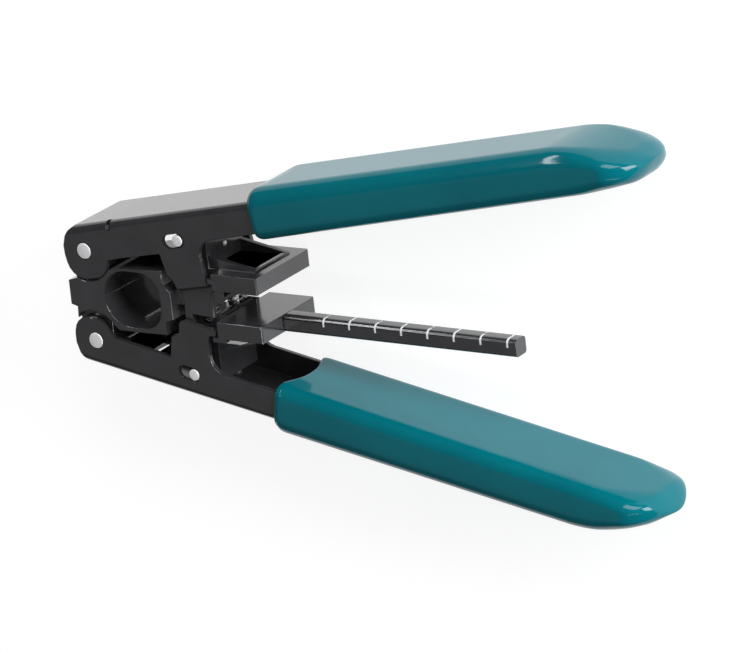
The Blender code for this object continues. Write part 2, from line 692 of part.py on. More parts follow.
def return_springs(side, parent):
    """Two helical springs round the guide rods, from the bridge into the carrier's seats."""
    start = BRIDGE_Y[1] if side == UPPER else -BRIDGE_Y[0]
    seat = JAW_INNER_Y[side] + LEG_SETBACK + SPRING_SEAT_DEPTH
    low = start + GAP + SPRING_WIRE
    high = seat - GAP - SPRING_WIRE
    points_each_turn = 8
    count = SPRING_TURNS * points_each_turn
    for end in (-1, 1):
        name = f"{SIDE_NAME[side]}_return_spring_{END_NAME[end]}"
        curve = bpy.data.curves.new(name, "CURVE")
        curve.dimensions = "3D"
        curve.bevel_depth = SPRING_WIRE * MM
        curve.bevel_resolution = 2
        curve.use_fill_caps = True
        spline = curve.splines.new("POLY")
        spline.points.add(count)
        for index, point in enumerate(spline.points):
            turn = 2 * math.pi * index / points_each_turn
            height = low + (high - low) * index / count
            place = Vector((ROD_X + SPRING_RADIUS * math.cos(turn), side * height,
                            end * ROD_Z + SPRING_RADIUS * math.sin(turn))) * MM
            point.co = (*place, 1)
        holder = bpy.data.objects.new(name, curve)
        bpy.context.scene.collection.objects.link(holder)
        bpy.context.view_layer.update()
        evaluated = holder.evaluated_get(bpy.context.evaluated_depsgraph_get())
        wire = bpy.data.meshes.new_from_object(evaluated)
        bpy.data.objects.remove(holder)
        bpy.data.curves.remove(curve)
        piece(name, closed_mesh(name, lambda bm: bm.from_mesh(wire)), parent, SPRING_STEEL)
        bpy.data.meshes.remove(wire)


# ---------------------------------------------------------------- scale bar

def scale_bar(carrier_body, parent):
    """Graduated bar, let into the lower jaw and held by two screws from below."""
    section = rounded([(BAR_TOP_Y, BAR_HALF_WIDTH, BAR_TOP_EDGE),
                       (BAR_TOP_Y, -BAR_HALF_WIDTH, BAR_TOP_EDGE),
                       (BAR_BOTTOM_Y, -BAR_HALF_WIDTH, BAR_BOTTOM_EDGE),
                       (BAR_BOTTOM_Y, BAR_HALF_WIDTH, BAR_BOTTOM_EDGE)])
    bar = piece("scale_bar", extruded_mesh("scale_bar", [section], *BAR_X, "X"),
                parent, BLACK_MOULDED)
    shoulder = JAW_X[1] + GAP
    for cut in ((BAR_TAIL_Y[0], BAR_BOTTOM_Y - 2), (BAR_TAIL_Y[1], BAR_TOP_Y + 2)):
        combine(bar, "DIFFERENCE",
                block_mesh("scale_bar_tail", (BAR_X[0] - 1, shoulder), cut, (-6, 6)))
    mortise = (BAR_X[0] - GAP, JAW_X[1] + 2)
    combine(carrier_body, "DIFFERENCE",
            block_mesh("scale_bar_mortise", mortise,
                       (BAR_TAIL_Y[0] - GAP, BAR_TAIL_Y[1] + GAP),
                       (-BAR_HALF_WIDTH - GAP, BAR_HALF_WIDTH + GAP)))

    shank, head = BAR_SCREW_RADII
    plate_bottom = -JAW_INNER_Y[LOWER] - JAW_THICKNESS
    for x, place in zip(BAR_SCREW_X, ("inner", "outer")):
        seat = plate_bottom + (LOWER_WELL_DEPTH if x < WELL_X[1] else 0.0)
        sink = seat + 0.75
        combine(carrier_body, "DIFFERENCE",
                rod_mesh("bar_screw_bore", "Y", (x, 0, 0), (seat - 2, BAR_TAIL_Y[0] + 1),
                         shank + 0.25, 16))
        combine(carrier_body, "DIFFERENCE",
                rod_mesh("bar_screw_sink", "Y", (x, 0, 0), (seat - 2, sink), head + 0.25, 20))
        combine(bar, "DIFFERENCE",
                rod_mesh("bar_screw_thread", "Y", (x, 0, 0),
                         (BAR_TAIL_Y[0] - 1, BAR_TAIL_Y[0] + 1.8), shank + 0.25, 16))
        name = f"scale_bar_screw_{place}"
        build_screw = screw_profile(x, seat + 0.05, sink - 0.2, shank, head)
        piece(name, closed_mesh(name, build_screw), parent, DARK_SCREW)


def screw_profile(x, head_face, head_seat, shank, head):
    """A cheese-head screw that points up: rings of the turned profile, capped at both ends."""
    tip = BAR_TAIL_Y[0] + 1.5
    profile = [(head, head_face), (head, head_seat), (shank, head_seat), (shank, tip)]

    def build(bm):
        sides = 16
        rows = []
        for radius, y in profile:
            ring = []
            for step in range(sides):
                turn = 2 * math.pi * step / sides
                ring.append(bm.verts.new(Vector((x + radius * math.cos(turn), y,
                                                 radius * math.sin(turn))) * MM))
            rows.append(ring)
        for row, after in zip(rows, rows[1:]):
            for step in range(sides):
                follow = (step + 1) % sides
                bm.faces.new((row[step], row[follow], after[follow], after[step]))
        bm.faces.new(rows[0])
        bm.faces.new(rows[-1])

    return build


# ---------------------------------------------------------------- assembly

for old in list(bpy.data.objects):
    bpy.data.objects.remove(old)

PARTS = collection("drop_cable_stripper")
CUTTERS = collection("cutters")

tool = axis_empty("tool", None, (-ORIGIN_X, -ORIGIN_Y, -ORIGIN_Z))
guide_body(tool)
for rod_end in (-1, 1):
    rod_name = f"guide_rod_{END_NAME[rod_end]}"
    rod = rod_mesh(rod_name, "Y", (ROD_X, 0, rod_end * ROD_Z), ROD_ENDS, ROD_RADIUS, 20)
    piece(rod_name, rod, tool, BRIGHT_STEEL)

for half in (UPPER, LOWER):
    half_name = SIDE_NAME[half]
    pin(f"{half_name}_pivot_pin", 0, half * PIVOT_Y, PIVOT_PIN_RADIUS, tool)
    return_springs(half, tool)

    handle_axis = axis_empty(f"{half_name}_handle_axis", tool, (0, half * PIVOT_Y, 0),
                             half * OPEN_ANGLE[half])
    handle_channel(half, handle_axis)
    grip(half, handle_axis)

    slide_axis = axis_empty(f"{half_name}_carrier_axis", tool, (0, 0, 0))
    jaw_carrier = carrier(half, slide_axis)
    blade_set(half, jaw_carrier, slide_axis)
    if half == LOWER:
        scale_bar(jaw_carrier, slide_axis)
    else:
        rivet = rod_mesh("upper_leg_rivet", "X", (0, RIVET_Y, 0),
                         (LEG_X[1] - 1.8, LEG_X[1] + RIVET_PROUD), RIVET_RADIUS, 16)
        socket = rod_mesh("upper_leg_rivet_bore", "X", (0, RIVET_Y, 0),
                          (LEG_X[1] - 1.8 - GAP, LEG_X[1] + 1), RIVET_RADIUS + GAP - 0.05, 16)
        combine(jaw_carrier, "DIFFERENCE", socket)
        piece("upper_leg_rivet", rivet, slide_axis, BRIGHT_STEEL)
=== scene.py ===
import json
import math

import bmesh
import bpy
from mathutils import Matrix, Vector


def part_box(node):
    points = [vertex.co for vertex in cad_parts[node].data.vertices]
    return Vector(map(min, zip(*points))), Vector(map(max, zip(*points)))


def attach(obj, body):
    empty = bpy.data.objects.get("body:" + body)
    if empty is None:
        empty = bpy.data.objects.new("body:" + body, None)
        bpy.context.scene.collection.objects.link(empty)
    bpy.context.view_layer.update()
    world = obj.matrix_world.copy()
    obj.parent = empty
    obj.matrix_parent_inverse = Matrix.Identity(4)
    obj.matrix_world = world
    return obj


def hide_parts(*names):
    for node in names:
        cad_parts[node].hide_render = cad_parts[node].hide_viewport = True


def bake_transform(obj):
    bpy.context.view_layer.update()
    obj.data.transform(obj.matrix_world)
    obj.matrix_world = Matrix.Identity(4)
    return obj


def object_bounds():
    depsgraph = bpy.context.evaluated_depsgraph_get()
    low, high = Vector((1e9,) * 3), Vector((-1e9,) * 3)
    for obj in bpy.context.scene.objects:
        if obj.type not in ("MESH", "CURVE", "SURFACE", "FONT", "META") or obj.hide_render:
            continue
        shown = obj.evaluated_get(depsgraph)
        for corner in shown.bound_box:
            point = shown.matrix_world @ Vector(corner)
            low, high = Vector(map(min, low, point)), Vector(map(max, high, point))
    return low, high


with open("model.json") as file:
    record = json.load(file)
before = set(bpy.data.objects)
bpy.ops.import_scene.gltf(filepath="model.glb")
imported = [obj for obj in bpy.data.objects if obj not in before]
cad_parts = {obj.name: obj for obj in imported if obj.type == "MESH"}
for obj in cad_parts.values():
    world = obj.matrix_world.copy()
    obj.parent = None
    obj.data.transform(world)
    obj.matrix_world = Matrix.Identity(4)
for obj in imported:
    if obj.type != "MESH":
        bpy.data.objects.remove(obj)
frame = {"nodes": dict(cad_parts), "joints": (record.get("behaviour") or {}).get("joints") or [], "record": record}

# Looks for the drop-cable stripping pliers. Metres; MM turns the tool's millimetres into metres.
MM = 0.001
CAD_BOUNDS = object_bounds()
UPPER, LOWER = 1, -1
SIDE_NAME = {UPPER: "upper", LOWER: "lower"}
END_NAME = {1: "left", -1: "right"}

# The tool's own axes start midway between the pivots, at mid thickness
HINGES = {joint["name"]: joint for joint in frame["joints"]}
PIVOT = {side: Vector(HINGES[f"{SIDE_NAME[side]}_handle_hinge"]["pos_m"]) for side in (UPPER, LOWER)}
TOOL_ORIGIN = (PIVOT[UPPER] + PIVOT[LOWER]) / 2
OPEN_ANGLE = {UPPER: math.radians(11.0), LOWER: math.radians(10.1)}


def in_tool(x, y, z):
    """A point given in the tool's own axes, in millimetres."""
    return TOOL_ORIGIN + Vector((x, y, z)) * MM


def in_handle(side, x, y, z):
    """A point given along a handle (x), outwards from it (y) and across it (z), in millimetres."""
    turn = Matrix.Rotation(side * OPEN_ANGLE[side], 3, "Z")
    return PIVOT[side] + turn @ (Vector((x, y * side, z)) * MM)


# ---------------------------------------------------------------- camera

VIEW_BACK = Vector((0.5441, 0.3262, 0.7730)).normalized()
VIEW_UP = Vector((-0.0927, 0.9391, -0.3310))
VIEW_DISTANCE = 1.5
VIEW_OFFSET = (0.0864, -0.01476)
FOCAL_LENGTH = 215.5


def add_camera():
    """The photograph's angle: the tool seen from its head's left side, a little from the handles."""
    right = VIEW_UP.cross(VIEW_BACK).normalized()
    up = VIEW_BACK.cross(right).normalized()
    data = bpy.data.cameras.new("camera")
    data.sensor_width = 36
    data.lens = FOCAL_LENGTH
    data.clip_start = 0.01
    data.clip_end = 60
    camera = bpy.data.objects.new("camera", data)
    place = TOOL_ORIGIN + VIEW_BACK * VIEW_DISTANCE + right * VIEW_OFFSET[0] + up * VIEW_OFFSET[1]
    turn = Matrix((right, up, VIEW_BACK)).transposed().to_4x4()
    camera.matrix_world = Matrix.Translation(place) @ turn
    bpy.context.scene.collection.objects.link(camera)
    bpy.context.scene.camera = camera


# ---------------------------------------------------------------- materials

class Nodes:
    """Short helper for building a node tree."""

    def __init__(self, name):
        self.material = bpy.data.materials.new(name)
        self.material.use_nodes = True
        self.tree = self.material.node_tree
        self.shader = self.tree.nodes["Principled BSDF"]
        self.place = self.add("ShaderNodeTexCoord").outputs["Object"]

    def add(self, kind, **settings):
        node = self.tree.nodes.new(kind)
        for key, value in settings.items():
            setattr(node, key, value)
        return node

    def link(self, source, target):
        self.tree.links.new(source, target)

    def noise(self, scale, detail=4.0, roughness=0.55, stretch=(1, 1, 1), distortion=0.0):
        """Noise in metres of the object; stretch draws it out along an axis when under 1."""
        mapping = self.add("ShaderNodeMapping")
        mapping.inputs["Scale"].default_value = stretch
        self.link(self.place, mapping.inputs["Vector"])
        noise = self.add("ShaderNodeTexNoise")
        noise.inputs["Scale"].default_value = scale
        noise.inputs["Detail"].default_value = detail
        noise.inputs["Roughness"].default_value = roughness
        noise.inputs["Distortion"].default_value = distortion
        self.link(mapping.outputs["Vector"], noise.inputs["Vector"])
        return noise.outputs["Fac"]

    def spread(self, value, low, high, start=0.3, end=0.7):
        """A value between start and end mapped to between low and high."""
        ranged = self.add("ShaderNodeMapRange")
        ranged.inputs["From Min"].default_value = start
        ranged.inputs["From Max"].default_value = end
        ranged.inputs["To Min"].default_value = low
        ranged.inputs["To Max"].default_value = high
        self.link(value, ranged.inputs["Value"])
        return ranged.outputs["Result"]

    def blend(self, factor, low, high):
        """A colour between two colours."""
        mix = self.add("ShaderNodeMix", data_type="RGBA")
        mix.inputs["A"].default_value = (*low, 1)
        mix.inputs["B"].default_value = (*high, 1)
        self.link(factor, mix.inputs["Factor"])
        return mix.outputs["Result"]

    def bump(self, height, distance, strength=1.0, under=None):
        """A bump from a height in 0 to 1, this many metres deep, on top of another bump."""
        bump = self.add("ShaderNodeBump")
        bump.inputs["Strength"].default_value = strength
        bump.inputs["Distance"].default_value = distance
        self.link(height, bump.inputs["Height"])
        if under is not None:
            self.link(under, bump.inputs["Normal"])
        return bump.outputs["Normal"]


def black_paint():
    """Glossy black paint on pressed steel, with fine orange peel."""
    n = Nodes("black_painted_steel")
    cloud = n.noise(90, 5)
    n.link(n.blend(n.spread(cloud, 0, 1), (0.024, 0.024, 0.026), (0.033, 0.033, 0.0355)),
           n.shader.inputs["Base Color"])
    n.link(n.spread(n.noise(700, 3), 0.10, 0.16), n.shader.inputs["Roughness"])
    peel = n.bump(n.noise(1500, 2), 0.000002)
    n.link(n.bump(cloud, 0.00001, under=peel), n.shader.inputs["Normal"])
    n.shader.inputs["Coat Weight"].default_value = 0.35
    n.shader.inputs["Coat Roughness"].default_value = 0.08
    return n.material


def black_cast():
    """Black finish on the moulded head and jaws, with a finer grain than the paint."""
    n = Nodes("black_moulded")
    cloud = n.noise(120, 5)
    n.link(n.blend(n.spread(cloud, 0, 1), (0.024, 0.024, 0.026), (0.033, 0.033, 0.0355)),
           n.shader.inputs["Base Color"])
    n.link(n.spread(n.noise(1500, 3), 0.12, 0.20), n.shader.inputs["Roughness"])
    grain = n.bump(n.noise(3200, 3), 0.000002)
    n.link(n.bump(cloud, 0.00001, under=grain), n.shader.inputs["Normal"])
    n.shader.inputs["Coat Weight"].default_value = 0.5
    n.shader.inputs["Coat Roughness"].default_value = 0.1
    return n.material


def teal_vinyl():
    """Glossy dipped vinyl: an even teal with slow waves in its surface."""
    n = Nodes("teal_grip")
    cloud = n.noise(28, 3)
    n.link(n.blend(n.spread(cloud, 0, 1), (0.0, 0.12, 0.152), (0.0, 0.14, 0.173)),
           n.shader.inputs["Base Color"])
    n.link(n.spread(n.noise(420, 3), 0.07, 0.11), n.shader.inputs["Roughness"])
    ripple = n.bump(n.noise(1400, 2), 0.000002)
    n.link(n.bump(n.noise(60, 2), 0.00003, under=ripple), n.shader.inputs["Normal"])
    n.shader.inputs["Specular IOR Level"].default_value = 0.28
    return n.material


TOOL_MARK_SCALE = 2200.0
TOOL_MARK_DEPTH = 0.000006


def steel(name, low, high, rough, lay=(1, 1, 1), metallic=1.0, gloss=0.5):
    """Machined steel: fine tool marks drawn out along one way, and a faint stain."""
    n = Nodes(name)
    stain = n.noise(260, 4)
    n.link(n.blend(n.spread(stain, 0, 1), low, high), n.shader.inputs["Base Color"])
    marks = n.noise(TOOL_MARK_SCALE, 5, stretch=lay)
    n.link(n.spread(marks, rough - 0.07, rough + 0.08), n.shader.inputs["Roughness"])
    n.link(n.bump(marks, TOOL_MARK_DEPTH), n.shader.inputs["Normal"])
    n.shader.inputs["Metallic"].default_value = metallic
    n.shader.inputs["Specular IOR Level"].default_value = gloss
    return n.material


PIN_FACE = (14.6, 14.85)       # the pins are ground bright from here outwards


def ground_pin():
    """A pin, near-black along its body and bright at its ground ends, which stand at the cheeks' outer faces."""
    n = Nodes("ground_pin")
    apart = n.add("ShaderNodeSeparateXYZ")
    n.link(n.place, apart.inputs["Vector"])
    centred = n.add("ShaderNodeMath", operation="SUBTRACT")
    n.link(apart.outputs["Z"], centred.inputs[0])
    centred.inputs[1].default_value = TOOL_ORIGIN.z
    height = n.add("ShaderNodeMath", operation="ABSOLUTE")
    n.link(centred.outputs["Value"], height.inputs[0])
    end = n.spread(height.outputs["Value"], 0, 1, PIN_FACE[0] * MM, PIN_FACE[1] * MM)
    stain = n.spread(n.noise(900, 5), 0, 1)
    bright = n.blend(stain, (0.88, 0.88, 0.89), (0.97, 0.97, 0.98))
    # near-black along the body, bright only from PIN_FACE outwards, so the pin's side reads dark where it shows in
    # the slots
    colour = n.add("ShaderNodeMix", data_type="RGBA")
    colour.inputs["A"].default_value = (0.012, 0.012, 0.013, 1)
    n.link(bright, colour.inputs["B"])
    n.link(end, colour.inputs["Factor"])
    n.link(colour.outputs["Result"], n.shader.inputs["Base Color"])
    marks = n.noise(TOOL_MARK_SCALE, 5)
    n.link(n.spread(marks, 0.36, 0.5), n.shader.inputs["Roughness"])
    n.link(n.bump(marks, TOOL_MARK_DEPTH), n.shader.inputs["Normal"])
    n.link(n.spread(end, 0.0, 0.25, 0, 1), n.shader.inputs["Metallic"])
    return n.material


def white_print():
    """White marking enamel, a little uneven."""
    n = Nodes("white_print")
    n.link(n.blend(n.spread(n.noise(900, 4), 0, 1), (0.74, 0.75, 0.76), (0.86, 0.86, 0.87)),
           n.shader.inputs["Base Color"])
    n.link(n.spread(n.noise(1600, 3), 0.4, 0.55), n.shader.inputs["Roughness"])
    n.link(n.bump(n.noise(3000, 2), 0.000008), n.shader.inputs["Normal"])
    return n.material


def pale_floor():
    """A plain pale studio floor that is as bright as its surroundings."""
    n = Nodes("pale_floor")
    n.shader.inputs["Base Color"].default_value = (0.3, 0.3, 0.3, 1)
    n.shader.inputs["Roughness"].default_value = 0.9
    n.shader.inputs["Emission Color"].default_value = (1, 1, 1, 1)
    n.shader.inputs["Emission Strength"].default_value = 0.85
    return n.material


MATERIALS = {
    "black_painted_steel": black_paint(),
    "black_moulded": black_cast(),
    "teal_grip": teal_vinyl(),
    "bright_steel": steel("bright_steel", (0.78, 0.78, 0.79), (0.9, 0.9, 0.91), 0.42, metallic=0.25),
    "blade_steel": steel("blade_steel", (0.02, 0.02, 0.022), (0.032, 0.032, 0.035), 0.5, (1, 0.05, 1),
                         metallic=0.0, gloss=0.2),
    "spring_steel": steel("spring_steel", (0.34, 0.34, 0.36), (0.46, 0.46, 0.48), 0.3),
    "dark_screw": steel("dark_screw", (0.05, 0.05, 0.055), (0.09, 0.09, 0.1), 0.34),
}
WHITE_PRINT = white_print()
GROUND_PIN = ground_pin()
SLOT_OF = {part["node"]: part["material_slot"] for part in frame["record"]["subparts"]}


# ---------------------------------------------------------------- helpers

def new_piece(name, mesh, body, slot, material=None, replaces=()):
    """A finished piece that rides on a body, with its material."""
    obj = bpy.data.objects.new(name, mesh)
    bpy.context.scene.collection.objects.link(obj)
    mesh.materials.clear()
    mesh.materials.append(material or MATERIALS[slot])
    if body:
        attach(obj, body)
    if replaces:
        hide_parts(*replaces)
    return obj


def shade(mesh, crease):
    """Smooth shading with creases kept sharp."""
    mesh.shade_smooth()
    mesh.set_sharp_from_angle(angle=math.radians(crease))


def add_loft(bm, rings, fans=False):
    """Rings of the same number of points joined into a solid, with flat or fanned ends."""
    rows = []
    for ring in rings:
        rows.append([bm.verts.new(point) for point in ring])
    count = len(rows[0])
    for row, after in zip(rows, rows[1:]):
        for step in range(count):
            follow = (step + 1) % count
            bm.faces.new((row[step], row[follow], after[follow], after[step]))
    for row in (rows[0], rows[-1]):
        if not fans:
            bm.faces.new(row)
            continue
        centre = bm.verts.new(sum((vert.co for vert in row), Vector()) / count)
        for step in range(count):
            bm.faces.new((row[step], row[(step + 1) % count], centre))


def solid_mesh(name, bm, crease=None):
    """A mesh of what has been built, with its faces pointing out."""
    bmesh.ops.recalc_face_normals(bm, faces=bm.faces)
    mesh = bpy.data.meshes.new(name)
    bm.to_mesh(mesh)
    bm.free()
    if crease is not None:
        shade(mesh, crease)
    return mesh


def welded_copy(node, name):
    """A CAD node's mesh, welded and freed of the edges that lie in flat faces."""
    bm = bmesh.new()
    bm.from_mesh(frame["nodes"][node].data)
    bmesh.ops.remove_doubles(bm, verts=bm.verts, dist=0.000004)
    bmesh.ops.dissolve_limit(bm, angle_limit=math.radians(0.6), verts=bm.verts, edges=bm.edges)
    mesh = bpy.data.meshes.new(name)
    bm.to_mesh(mesh)
    bm.free()
    return mesh


def body_of(node):
    """The body that a CAD node belongs to."""
    for body, members in frame["record"]["behaviour"]["bodies"].items():
        if node in members:
            return body
    raise ValueError(node)


SHORTEST_EASED_EDGE = 1.5 * MM
SHALLOWEST_EASED_EDGE = math.radians(35)


def eased(node, width):
    """The CAD node again with its long outside edges eased, as paint and casting leave them."""
    mesh = welded_copy(node, f"{node}_eased")
    bm = bmesh.new()
    bm.from_mesh(mesh)
    weight = bm.edges.layers.float.new("bevel_weight_edge")
    for edge in bm.edges:
        if len(edge.link_faces) != 2 or edge.calc_length() < SHORTEST_EASED_EDGE:
            continue
        if edge.calc_face_angle_signed(0.0) > SHALLOWEST_EASED_EDGE:
            edge[weight] = 1.0
    bm.to_mesh(mesh)
    bm.free()
    obj = new_piece(f"{node}_eased", mesh, body_of(node), SLOT_OF[node], replaces=(node,))
    bevel = obj.modifiers.new("eased_edges", "BEVEL")
    bevel.width = width * MM
    bevel.segments = 3
    bevel.limit_method = "WEIGHT"
    bevel.miter_outer = "MITER_ARC"
    bevel.use_clamp_overlap = False
    normals = obj.modifiers.new("flat_faces", "WEIGHTED_NORMAL")
    normals.weight = 100
    normals.keep_sharp = True
    shade(mesh, 30)


TURNED_SIDES = 64
TURNED_EDGE = 0.3 * MM
TURNED_EDGE_STEPS = 4


def turned(node, axis, material=None):
    """A CAD pin or rod again as a fine turned piece with rounded edges, along X, Y or Z."""
    low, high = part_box(node)
    centre = (low + high) / 2
    along = "XYZ".index(axis)
    first, second = (along + 1) % 3, (along + 2) % 3
    half = (high[along] - low[along]) / 2
    radius = (high[first] - low[first]) / 2
    edge = min(TURNED_EDGE, radius / 2)
    profile = []
    for step in range(TURNED_EDGE_STEPS + 1):
        turn = math.pi / 2 * step / TURNED_EDGE_STEPS
        profile.append((radius - edge + edge * math.sin(turn), -half + edge - edge * math.cos(turn)))
    profile += [(ring_radius, -height) for ring_radius, height in reversed(profile)]
    rings = []
    for ring_radius, height in profile:
        ring = []
        for step in range(TURNED_SIDES):
            turn = 2 * math.pi * step / TURNED_SIDES
            place = centre.copy()
            place[along] += height
            place[first] += ring_radius * math.cos(turn)
            place[second] += ring_radius * math.sin(turn)
            ring.append(place)
        rings.append(ring)
    bm = bmesh.new()
    add_loft(bm, rings)
    mesh = solid_mesh(f"{node}_turned", bm, 50)
    return new_piece(f"{node}_turned", mesh, body_of(node), SLOT_OF[node], material,
                     replaces=(node,))


# ---------------------------------------------------------------- grips

GRIP_START = 72.6
GRIP_END = {UPPER: 218.99, LOWER: 214.29}
GRIP_HALF_WIDTH = 16.5
GRIP_OUTER_Y = 12.895
GRIP_INNER_Y = -4.5
GRIP_OUTER_CORNER = (6.4, 5.2)
GRIP_INNER_CORNER = (4.6, 4.6)
GRIP_TONGUE = 6.8
GRIP_THROAT = 3.0
GRIP_RAMP = 10.0
GRIP_RAMP_HEIGHT = 3.3
GRIP_LIP_EASE = 0.8
INNER_TAPER = 0.0104
TIP_WIDTH = (12.8, 1.8)
TIP_HEIGHT = (6.2, 1.95)
TIP_OUTER_FALL = (31.8, 8.6, 1.81)
TIP_INNER_RISE = (7.4, 4.8, 2.6)
TIP_ROUND = (24.0, 0.8)
TIP_START = 175.0
TIP_STEPS = 60
CORNER_STEPS = 12
FACE_STEPS = 24
LIP_LENGTH = 0.9
LIP_STEPS = 8
LIP_SETBACK = 0.2              # the lip's edge starts this far along the grip
MOUTH_FADE = 16.0              # the shape of the mouth has faded out after this length
MOUTH_POWERS = (2.4, 1.4)      # roundness of the tongue's and the throat's outline
MOUTH_STATIONS = (0.25, 0.6, 1.1, 1.8, 2.8, 4.0, 5.5, 7.0, 9.0, 11.0, 13.5, 16.0, 22.0, 32.0, 50.0)
ROOM_STATIONS = (0.4, 6.0, 30.0, 110.0)
TIP_BLUNT = 0.01               # the last ring is this far short of the tip
ROOM_CORNER = (2.2, 0.6)
ROOM_GAP = 0.3
CHEEK_Z = 15.0
WEB_Y = 8.8
CHANNEL_EDGE_Y = -2.0


def ease(value):
    """Smooth step from 0 to 1."""
    value = min(1.0, max(0.0, value))
    return value * value * (3 - 2 * value)


def reach(x, length, end):
    """How far a place is into the last length before the end, from 0 to 1."""
    return min(1.0, max(0.0, (x - end + length) / length))


def closing(share, power):
    """Share of the full size left on a rounded end, from 1 to 0."""
    return (1 - share ** power) ** (1 / power)


def grip_limits(x, end):
    """Half width, outer height and inner height of the grip at a place along the handle."""
    outer = GRIP_OUTER_Y
    outer -= GRIP_RAMP_HEIGHT * (1 - ease((x - GRIP_START + GRIP_TONGUE) / GRIP_RAMP))
    fall_length, fall, fall_power = TIP_OUTER_FALL
    outer -= fall * reach(x, fall_length, end) ** fall_power
    rise_length, rise, rise_power = TIP_INNER_RISE
    inner = GRIP_INNER_Y + INNER_TAPER * max(0.0, x - GRIP_START)
    inner += rise * reach(x, rise_length, end) ** rise_power
    middle = (outer + inner) / 2
    height_length, height_power = TIP_HEIGHT
    half_height = (outer - inner) / 2 * closing(reach(x, height_length, end), height_power)
    width_length, width_power = TIP_WIDTH
    half_width = GRIP_HALF_WIDTH * closing(reach(x, width_length, end), width_power)
    half_width -= GRIP_LIP_EASE * (1 - ease((x - GRIP_START + 1.0) / 2.5))
    return half_width, middle + half_height, middle - half_height


def corner_sizes(corner, x, end, half_width, half_height):
    """A corner's rounding, outwards and across: as given, then growing towards the tip."""
    round_length, share = TIP_ROUND
    grown = ease(reach(x, round_length, end))
    sizes = []
    for size, half in zip(corner, (half_height, half_width)):
        sizes.append(min(size + (share * half - size) * grown, half * share))
    return sizes


def ring_points(limits, outer_corner, inner_corner):
    """(y, z, lead) round a section: lead is the share by which its edge is moved along the grip."""
    half_width, outer, inner = limits
    points = []
    for face, inwards, corner, start, lead in (
            (outer, -1, outer_corner, 0.0, -GRIP_TONGUE), (inner, 1, inner_corner, math.pi, GRIP_THROAT)):
        size_y, size_z = corner
        flat = half_width - size_z
        across = 1 if start == 0 else -1
        for quarter in (0, 1):
            centre_z = flat * across * (1 - 2 * quarter)
            for step in range(CORNER_STEPS + 1):
                turn = start + math.pi / 2 * (quarter + step / CORNER_STEPS)
                points.append((face + inwards * size_y + size_y * math.sin(turn),
                               centre_z + size_z * math.cos(turn), 0.0))
            if quarter == 0:
                for step in range(1, FACE_STEPS):
                    share = 2 * step / FACE_STEPS - 1
                    bow = (1 - abs(share) ** MOUTH_POWERS[0]) ** MOUTH_POWERS[1]
                    points.append((face, -across * share * flat, lead * bow))
    return points


def outer_ring(x, end):
    """The grip's outside at a place along the handle, as (x, y, z) points."""
    limits = grip_limits(x, end)
    half_width, outer, inner = limits
    corners = [corner_sizes(corner, x, end, half_width, (outer - inner) / 2)
               for corner in (GRIP_OUTER_CORNER, GRIP_INNER_CORNER)]
    fade = 1 - ease((x - GRIP_START) / MOUTH_FADE)
    points = []
    for y, z, lead in ring_points(limits, *corners):
        moved = x + lead * fade
        if y > 0:
            y -= outer - grip_limits(moved, end)[1]
        points.append((moved, y, z))
    return points


def wall_ring(x):
    """The room inside the grip at a place along the handle, as (y, z) points."""
    edge = CHANNEL_EDGE_Y + INNER_TAPER * (x - GRIP_START)
    limits = (CHEEK_Z + ROOM_GAP, WEB_Y + ROOM_GAP, edge - ROOM_GAP)
    corners = [(size, size) for size in ROOM_CORNER]
    return [(y, z) for y, z, _ in ring_points(limits, *corners)]


def grip_mesh(side):
    """Outside, rounded lip and inside wall of a grip as one closed loft."""
    end = GRIP_END[side]
    stations = [GRIP_START + step for step in MOUTH_STATIONS]
    tip_length = end - TIP_START - TIP_BLUNT
    stations += [TIP_START + tip_length * math.sin(math.pi / 2 * step / TIP_STEPS)
                 for step in range(TIP_STEPS + 1)]
    outside = [outer_ring(x, end) for x in stations]
    first = outside[0]
    wall = wall_ring(GRIP_START)
    lip = []
    for step in range(1, LIP_STEPS):
        turn = math.pi * step / LIP_STEPS
        ring = []
        for (x, y, z), (wall_y, wall_z) in zip(first, wall):
            middle_y, middle_z = (y + wall_y) / 2, (z + wall_z) / 2
            ring.append((x - LIP_LENGTH * math.sin(turn) + LIP_SETBACK,
                         middle_y + (y - middle_y) * math.cos(turn),
                         middle_z + (z - middle_z) * math.cos(turn)))
        lip.append(ring)
    inside = []
    for depth in ROOM_STATIONS:
        ring = wall_ring(GRIP_START + depth)
        inside.append([(x + depth, y, z) for (x, _, _), (y, z) in zip(first, ring)])
    rings = inside[::-1] + lip[::-1] + outside

    bm = bmesh.new()
    add_loft(bm, [[in_handle(side, *point) for point in ring] for ring in rings], fans=True)
    return solid_mesh(f"{SIDE_NAME[side]}_grip_skin", bm, 60)


# ---------------------------------------------------------------- springs

SPRING_RADIUS = 2.4
SPRING_WIRE = 0.3
SPRING_TURNS = 6
SPRING_STEPS = 28              # in each turn
SPRING_WIRE_SIDES = 10
SPRING_CLOSING = 0.035         # share of the length by which the end turns are closed up


